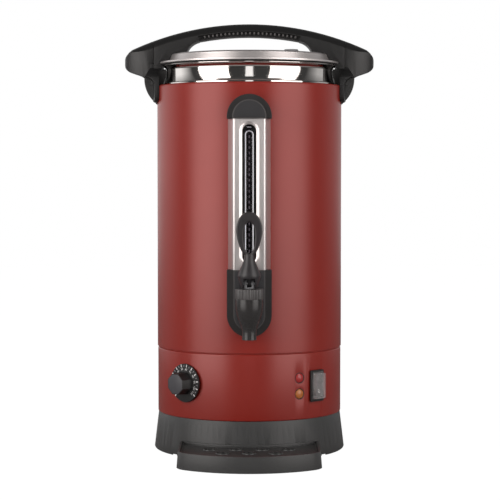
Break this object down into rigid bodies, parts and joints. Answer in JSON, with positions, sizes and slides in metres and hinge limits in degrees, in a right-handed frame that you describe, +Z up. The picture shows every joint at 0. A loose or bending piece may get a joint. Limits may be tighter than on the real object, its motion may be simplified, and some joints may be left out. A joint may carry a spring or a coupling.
{
  "type": "hot water urn",
  "caption": "Cylindrical double-walled hot water urn with a lever tap, sight gauge, thermostat dial, rocker switch, twist-lock lid with a carrying bow, and drip tray.",
  "frame": {"origin": "on the casing's axis, at the surface that the urn stands on", "axes": "+Z up along the casing's axis, -Y towards the front with the tap, +X to the right seen from the front"},
  "size_m": [0.2974, 0.3177, 0.507],
  "materials": {
    "painted_red": "satin powder-coated steel, deep red",
    "polished_steel": "polished stainless steel",
    "brushed_steel": "brushed stainless steel",
    "zinc_steel": "zinc-plated steel",
    "element_alloy": "cast aluminium",
    "copper_tube": "drawn copper",
    "brass_nut": "plain brass",
    "black_plastic": "fine-grained heat-resistant moulding",
    "charcoal_plastic": "fine-grained moulding",
    "grey_plastic": "natural grey moulding",
    "ceramic_body": "unglazed ceramic and phenolic",
    "black_rubber": "soft rubber",
    "silicone": "translucent silicone",
    "clear_glass": "borosilicate tube",
    "clear_boot": "clear soft cover",
    "red_lens": "tinted lamp lens",
    "amber_lens": "tinted lamp lens"
  },
  "bodies": {
    "root": {"base_shell": "charcoal_plastic", "base_plate": "zinc_steel", "rubber_pads": "black_rubber", "base_screws": "zinc_steel", "lower_skirt": "painted_red", "outer_casing": "painted_red", "inner_tank": "polished_steel", "neck_collar": "polished_steel", "heating_element": "element_alloy", "thermal_cutout": "black_plastic", "thermostat_body": "ceramic_body", "thermostat_sensor": "copper_tube", "terminal_block": "ceramic_body", "lamp_holders": "black_plastic", "red_lens": "red_lens", "amber_lens": "amber_lens", "switch_housing": "black_plastic", "switch_boot": "clear_boot", "power_inlet": "black_plastic", "inlet_screws": "zinc_steel", "gauge_cover": "brushed_steel", "gauge_top_cap": "charcoal_plastic", "gauge_bottom_cap": "charcoal_plastic", "gauge_backing": "black_plastic", "sight_glass": "clear_glass", "glass_seals": "silicone", "gauge_fitting": "black_plastic", "vent_elbow": "black_plastic", "tap_body": "charcoal_plastic", "tap_gasket": "silicone", "tap_locknut": "brass_nut", "tap_bonnet": "charcoal_plastic", "left_ear": "black_plastic", "right_ear": "black_plastic", "ear_screws": "zinc_steel"},
    "valve": {"valve_stem": "grey_plastic", "seat_cup": "silicone", "valve_spring": "zinc_steel"},
    "lever": {"tap_lever": "charcoal_plastic", "lever_pin": "zinc_steel"},
    "dial": {"thermostat_knob": "black_plastic", "dial_spindle": "zinc_steel"},
    "rocker": {"switch_rocker": "black_plastic"},
    "seal_ring": {"lid_seal": "black_rubber"},
    "lid": {"lid_shell": "brushed_steel", "lid_handle": "black_plastic", "lid_screws": "zinc_steel", "steam_vent": "grey_plastic"},
    "tray": {"drip_tray": "charcoal_plastic"},
    "grid": {"drip_grid": "charcoal_plastic"}
  },
  "joints": [
    {"name": "lid_lift", "type": "slide", "parent": "root", "child": "seal_ring", "axis": [0, 0, 1], "range_m": [0, 0.2]},
    {"name": "lid_turn", "type": "hinge", "parent": "seal_ring", "child": "lid", "pos_m": [0, 0, 0.4591], "axis": [0, 0, 1], "range_deg": [0, 28]},
    {"name": "stem_lift", "type": "slide", "parent": "root", "child": "valve", "axis": [0, 0, 1], "range_m": [0, 0.004], "deforming": ["valve_spring"]},
    {"name": "tap_lever", "type": "hinge", "parent": "valve", "child": "lever", "pos_m": [0, -0.15, 0.206], "axis": [1, 0, 0], "range_deg": [0, 35], "stiffness_Nm_per_rad": 0.064, "springref_deg": -26.3},
    {"name": "dial_turn", "type": "hinge", "parent": "root", "child": "dial", "pos_m": [-0.07327, -0.08137, 0.0865], "axis": [-0.6691, -0.7431, 0], "range_deg": [-270, 0]},
    {"name": "rocker_tip", "type": "hinge", "parent": "root", "child": "rocker", "pos_m": [0.07531, -0.07531, 0.083], "axis": [0.7071, 0.7071, 0], "range_deg": [0, 20]},
    {"name": "tray_slide", "type": "slide", "parent": "root", "child": "tray", "axis": [0, -1, 0], "range_m": [0, 0.1]},
    {"name": "grid_lift", "type": "slide", "parent": "tray", "child": "grid", "axis": [0, 0, 1], "range_m": [0, 0.045]}
  ],
  "couplings": [
    {"joint": "stem_lift", "follows": "tap_lever", "m_per_rad": 0.0065415}
  ]
}
